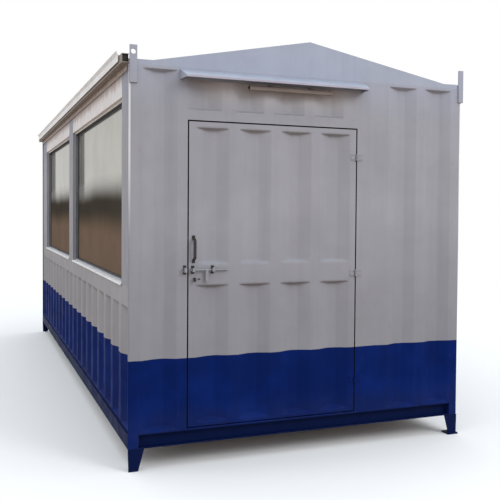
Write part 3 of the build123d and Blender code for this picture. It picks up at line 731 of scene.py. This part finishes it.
# Fittings: the door's seal on its stop
DOOR_L, DOOR_R, DOOR_TOP = 382.0, 1578.0, 2050.0
SEAL_FOOT = 99.0
SEAL_BACK = 50.9          # the stop's face, behind the wall's face
SEAL = ((-6.0, 0.0), (-6.0, 1.6), (2.0, 1.6), (4.0, 4.6), (7.5, 5.2), (10.5, 4.2), (12.0, 1.2), (12.0, 0.0))

bm = bmesh.new()
seal_path = [local(x, SEAL_BACK, z) for x, z in ((DOOR_R, SEAL_FOOT), (DOOR_R, DOOR_TOP),
                                                 (DOOR_L, DOOR_TOP), (DOOR_L, SEAL_FOOT))]
sweep(bm, seal_path, OUT, SEAL)
finish_piece("door_seal", bm, GASKET, "cabin")

# Fittings: gaskets round the panes and folded sills under the windows
WINDOWS = ((290.0, 2686.0), (2961.0, 5212.0))      # from and to, along the cabin
SILL, LINTEL = 1007.0, 2218.0
FACE_X = 14.0             # the long wall's face, in from the end wall's edge
SASH_W = 16.0
PANE_FRONT = 54.0         # the pane's face, behind the long wall's face
SILL_PAST = 6.0           # a sill runs this far past its window
GASKET_BEAD = ((0.0, 0.0), (0.0, 4.0), (2.0, 6.5), (6.5, 5.5), (8.0, 2.0), (8.0, 0.0))
SILL_FOLD = ((21.0, 0.2), (-7.0, -1.0), (-8.5, -12.0), (-7.3, -12.2), (-5.9, -2.4), (-0.2, -2.0),
             (-0.2, 1.2), (21.0, 1.6))

for side, turn_over, outward in (("left", as_is, LEFT), ("right", to_right, RIGHT)):
    bm = bmesh.new()
    for start, end in WINDOWS:
        y0, y1, z0, z1 = start + SASH_W, end - SASH_W, SILL + SASH_W, LINTEL - SASH_W
        corners = [turn_over(local(FACE_X + PANE_FRONT, y, z))
                   for y, z in ((y0, z0), (y1, z0), (y1, z1), (y0, z1))]
        if side == "left":
            corners.reverse()
        sweep(bm, corners, outward, GASKET_BEAD, closed=True)
    finish_piece(f"window_gaskets_{side}", bm, GASKET, "cabin")

    bm = bmesh.new()
    for start, end in WINDOWS:
        rows = [[bm.verts.new(turn_over(local(FACE_X + x, y, SILL + z))) for x, z in SILL_FOLD]
                for y in (start - SILL_PAST, end + SILL_PAST)]
        skin(bm, rows, False)
    finish_piece(f"window_sills_{side}", bm, FASCIA, "cabin")

# Fittings: screws in the hinges, the handle's feet and beside the staple
HINGES = (1860.0, 1064.0, 329.0)                   # heights of their middles
HINGE_X = 1581.0
HINGE_SCREW_OUT, HINGE_SCREW_UP = (20.0, 35.0), (-15.0, 15.0)
LEAF_FRONT = -3.0         # the hinge leaves' face, before the wall's
HANDLE_X, HANDLE_FRONT, HANDLE_ENDS = 415.0, -7.0, (1163.0, 1319.0)
STAPLE_SCREW_X, STAPLE_FRONT, STAPLE_Z = (447.0, 456.0), -1.0, 1050.0

for body, sign in (("cabin", 1), ("door", -1)):
    bm = bmesh.new()
    for middle in HINGES:
        for out in HINGE_SCREW_OUT:
            for rise in HINGE_SCREW_UP:
                at = local(HINGE_X + sign * out, LEAF_FRONT, middle + rise)
                turned(bm, at, OUT, PAN_HEAD, SCREW_SIDES)
    finish_piece(f"hinge_screws_{body}", bm, FRAME_PAINT, body)

bm = bmesh.new()
for z in HANDLE_ENDS:
    turned(bm, local(HANDLE_X, HANDLE_FRONT, z), OUT, DOME_HEAD, SCREW_SIDES)
for x in STAPLE_SCREW_X:
    turned(bm, local(x, STAPLE_FRONT, STAPLE_Z), OUT, DOME_HEAD, SCREW_SIDES)
finish_piece("handle_screws", bm, DARK_STEEL, "door")

# Fittings: feet of the bolt's straps, each with a dark screw
BOLT_Z = 1110.0
STRAPS = (                # name, body, and each strap's middle with half its opening's height
    ("guide", "door", ((410.0, 12.0), (541.0, 12.0))),
    ("keeper", "cabin", ((357.0, 15.0),)),
)
FOOT = ((0.0, 0.0), (0.0, 2.2), (0.8, 3.0), (13.2, 3.0), (14.0, 2.2), (14.0, 0.0))
FOOT_HALF, FOOT_FRONT, FOOT_SCREW = 10.0, -3.0, 7.5

for name, body, straps in STRAPS:
    bm = bmesh.new()
    screws = bmesh.new()
    for x, half in straps:
        for sign in (1, -1):
            z = BOLT_Z + sign * half
            sweep(bm, [local(x - sign * FOOT_HALF, 0, z), local(x + sign * FOOT_HALF, 0, z)], OUT, FOOT)
            turned(screws, local(x, FOOT_FRONT, z + sign * FOOT_SCREW), OUT, DOME_HEAD, SCREW_SIDES)
    finish_piece(f"{name}_feet", bm, DARK_STEEL, body)
    finish_piece(f"{name}_screws", screws, DARK_STEEL, body)

# Fittings: welds round the lifting lugs and the legs
LUG_LOW, LUG_HIGH = 2266.0, 2408.0
LUG_SIDES = (3.0, 49.0)
ANGLE_LOW = 2284.0
ANGLE_SIDES = (WIDTH - 28, WIDTH - 12)
WELD_FRONT = -1.0
LUG_BEAD, LEG_BEAD = 2.4 * MM, 2.6 * MM            # radii
LUG_LINES = (             # down and round the foot of the flat bar, then of the angle
    ((LUG_SIDES[0], LUG_HIGH), (LUG_SIDES[0], LUG_LOW), (LUG_SIDES[1], LUG_LOW), (LUG_SIDES[1], LUG_HIGH)),
    ((ANGLE_SIDES[0], LUG_HIGH), (ANGLE_SIDES[0], ANGLE_LOW), (ANGLE_SIDES[1], ANGLE_LOW)),
)
LEG_LINES = (             # along the leg's top, behind it, and up its rib
    ((1, 0.5, 0), (102, 0.5, 0)),
    ((99, 10, -1), (4, 10, -1)),
    ((34, 12, -2), (34, 66, -2)),
)

rng = random.Random(11)
bm = bmesh.new()
for line in LUG_LINES:
    for turn_end in (as_is, to_rear):
        bead(bm, [turn_end(local(x, WELD_FRONT, z)) for x, z in line], LUG_BEAD, rng)
finish_piece("lug_welds", bm, FRAME_PAINT, "cabin")

bm = bmesh.new()
for turn_over in (as_is, to_right):
    for turn_end in (as_is, to_rear):
        for line in LEG_LINES:
            bead(bm, [turn_end(turn_over(local(*point))) for point in line], LEG_BEAD, rng)
finish_piece("leg_welds", bm, BASE, "cabin")

# Fittings: screws with washers through the roof's ribs and the ridge cap
RIDGE, EAVE, BREAK = 2582.0, 2404.0, 1069.0        # both heights, and the slope's reach from the middle
FALL = (RIDGE - EAVE) / BREAK
RIB_H = 20.0
RIB_COUNT, RIB_PITCH = 18, 292.0
ROOF_SCREWS = (330.0, 690.0, 1050.0)               # down the slope from the ridge
CAP_SCREW, CAP_RISE = 128.0, 4.0


def washered_screw(bm, at, axis):
    """A hexagonal screw head on its washer."""
    turned(bm, at, axis, WASHER, WASHER_SIDES)
    turned(bm, at, axis, HEX_HEAD, HEX_SIDES)


bm = bmesh.new()
cap_bm = bmesh.new()
for i in range(RIB_COUNT):
    y = MID_Y + (i - (RIB_COUNT - 1) / 2) * RIB_PITCH * MM
    for sign in (1, -1):
        along = Vector((sign, 0, -FALL)).normalized()
        out = Vector((FALL * sign, 0, 1)).normalized()
        crest = Vector((0, y, Z_0 + RIDGE * MM)) + out * RIB_H * MM
        for reach in ROOF_SCREWS:
            washered_screw(bm, crest + along * reach * MM, out)
        washered_screw(cap_bm, crest + along * CAP_SCREW * MM + out * CAP_RISE * MM, out)
finish_piece("roof_screws", bm, ZINC, "cabin")
finish_piece("ridge_screws", cap_bm, ZINC, "cabin")

# Fittings: the lamp's cable gland, its plug and the two fixings of its straps
GLAND = ((9.0, 0.0), (9.0, 3.0), (6.5, 4.5), (6.0, 9.0), (4.0, 10.5), (0.5, 11.0))
GLAND_AT, GLAND_SIDES = (768.0, -50.0, 2276.0), 14
PLUG = ((4.5, 0.0), (4.5, 6.0), (3.0, 8.0), (0.5, 8.5))
PLUG_AT = (940.0, -111.0, 2313.5)
LAMP_SCREW_X, LAMP_SCREW_FRONT, LAMP_SCREW_Z = (927.0, 1219.0), -4.0, 2299.5

bm = bmesh.new()
turned(bm, local(*GLAND_AT), LEFT, GLAND, GLAND_SIDES)
turned(bm, local(*PLUG_AT), BACK, PLUG, SCREW_SIDES)
finish_piece("lamp_gland", bm, GASKET, "cabin")

bm = bmesh.new()
for x in LAMP_SCREW_X:
    turned(bm, local(x, LAMP_SCREW_FRONT, LAMP_SCREW_Z), OUT, DOME_HEAD, SCREW_SIDES)
finish_piece("lamp_screws", bm, ZINC, "cabin")

# Fittings: black stop ends a little way inside the gutters' mouths, their black partly painted shade of the
# channels
STOP = ((1.0, 2404.5), (1.0, 2436.0), (40.0, 2436.0), (40.0, 2390.0), (4.0, 2390.0), (4.0, 2404.5))
STOP_T = 3.0
STOP_INSETS = ((as_is, 12.0), (to_right, 142.0))

bm = bmesh.new()
for turn_over, stop_inset in STOP_INSETS:
    for turn_end in (as_is, to_rear):
        rows = [[bm.verts.new(turn_end(turn_over(local(-x, depth, z)))) for x, z in STOP]
                for depth in (stop_inset, stop_inset + STOP_T)]
        skin(bm, rows, False)
finish_piece("gutter_stop_ends", bm, GASKET, "cabin")


# Camera, set to the photograph's view of the door end and the left side
CAMERA_AT = Vector((-2.1305, -7.2371, 1.6205))
YAW = math.radians(20.976)
PITCH_DOWN = math.radians(-1.583)
ROLL = math.radians(0.404)
FOCAL_PX = 732.2
PHOTO_PX = 500
CENTRE_Y_PX = 232         # the level of the lens's axis in the picture
SENSOR = 36

forward = Vector((math.sin(YAW) * math.cos(PITCH_DOWN), math.cos(YAW) * math.cos(PITCH_DOWN),
                  math.sin(PITCH_DOWN)))
level_right = Vector((math.cos(YAW), -math.sin(YAW), 0))
level_up = level_right.cross(forward)
right = math.cos(ROLL) * level_right + math.sin(ROLL) * level_up
up = -math.sin(ROLL) * level_right + math.cos(ROLL) * level_up

camera = bpy.data.objects.new("camera", bpy.data.cameras.new("camera"))
scene.collection.objects.link(camera)
camera.matrix_world = Matrix.Translation(CAMERA_AT) @ Matrix((right, up, -forward)).transposed().to_4x4()
camera.data.sensor_width = SENSOR
camera.data.lens = FOCAL_PX / PHOTO_PX * SENSOR
camera.data.shift_y = (CENTRE_Y_PX - PHOTO_PX / 2) / PHOTO_PX
camera.data.clip_end = 200
scene.camera = camera


# Floor and light

def seen_directly(tree):
    """One for what the camera, mirrors and glass see, nought for what lights the object."""
    path = tree.nodes.new("ShaderNodeLightPath")
    seen = maths(tree, "MAXIMUM", path.outputs["Is Camera Ray"], path.outputs["Is Glossy Ray"])
    return maths(tree, "MAXIMUM", seen, path.outputs["Is Transmission Ray"])


def one_of(tree, amount, first, second):
    """Choose between two shaders."""
    mixer = tree.nodes.new("ShaderNodeMixShader")
    feed(tree, amount, mixer.inputs[0])
    tree.links.new(first, mixer.inputs[1])
    tree.links.new(second, mixer.inputs[2])
    return mixer.outputs[0]


FLOOR_SHOWN = 0.80        # what the camera sees, catching the object's shadow
FLOOR_BOUNCE = (0.310, 0.230, 0.175)
FADE = (4.5, 9.0)         # distance over which the floor turns plain white
HALF = 60.0

floor_mesh = bpy.data.meshes.new("floor")
floor_corners = [(-HALF, -HALF, 0), (HALF, -HALF, 0), (HALF, HALF, 0), (-HALF, HALF, 0)]
floor_mesh.from_pydata(floor_corners, [], [(0, 1, 2, 3)])
floor = bpy.data.objects.new("floor", floor_mesh)
scene.collection.objects.link(floor)
floor_mat, tree, bounce = new_material("floor_white", FLOOR_BOUNCE, 0.9, Specular_IOR_Level=0.0)
shown = tree.nodes.new("ShaderNodeBsdfDiffuse")
shown.inputs["Color"].default_value = (FLOOR_SHOWN, FLOOR_SHOWN, FLOOR_SHOWN, 1)
plain = tree.nodes.new("ShaderNodeEmission")
reach = tree.nodes.new("ShaderNodeVectorMath")
reach.operation = "LENGTH"
tree.links.new(place(tree), reach.inputs[0])
faded = one_of(tree, band(tree, reach.outputs["Value"], *FADE), shown.outputs[0], plain.outputs[0])
tree.links.new(one_of(tree, seen_directly(tree), bounce.outputs[0], faded),
               tree.nodes["Material Output"].inputs["Surface"])
floor_mesh.materials.append(floor_mat)

SKY_STRENGTH = (1.12, 1.42)     # at the horizon and overhead
SKY_COLOUR = ((0.975, 0.980, 1.0), (0.90, 0.95, 1.0))
world = bpy.data.worlds.new("studio")
scene.world = world
world.use_nodes = True
tree = world.node_tree
sky = tree.nodes["Background"]
coords = tree.nodes.new("ShaderNodeTexCoord")
split = tree.nodes.new("ShaderNodeSeparateXYZ")
tree.links.new(coords.outputs["Generated"], split.inputs[0])
feed(tree, blend(tree, band(tree, split.outputs["Z"], 0.0, 0.8), *SKY_COLOUR), sky.inputs["Color"])
feed(tree, band(tree, split.outputs["Z"], 0.0, 0.9, *SKY_STRENGTH), sky.inputs["Strength"])
clear = tree.nodes.new("ShaderNodeBackground")
clear.inputs["Color"].default_value = (1, 1, 1, 1)
tree.links.new(one_of(tree, seen_directly(tree), sky.outputs[0], clear.outputs[0]),
               tree.nodes["World Output"].inputs["Surface"])


def softbox(name, at, target, size, watts, colour):
    """A large square lamp aimed at a point."""
    data = bpy.data.lights.new(name, "AREA")
    data.size = size
    data.energy = watts
    data.color = colour
    lamp = bpy.data.objects.new(name, data)
    scene.collection.objects.link(lamp)
    lamp.location = at
    lamp.rotation_euler = (Vector(target) - Vector(at)).to_track_quat("-Z", "Y").to_euler()


softbox("key_light", at=(6.5, -13.0, 8.5), target=(0.2, -2.7, 1.3), size=5.0, watts=620,
        colour=(1.0, 0.99, 0.98))
softbox("left_light", at=(-8.5, -0.5, 9.0), target=(-1.2, 0.0, 1.8), size=2.5, watts=120,
        colour=(1.0, 0.97, 0.94))

scene.view_settings.view_transform = "Standard"
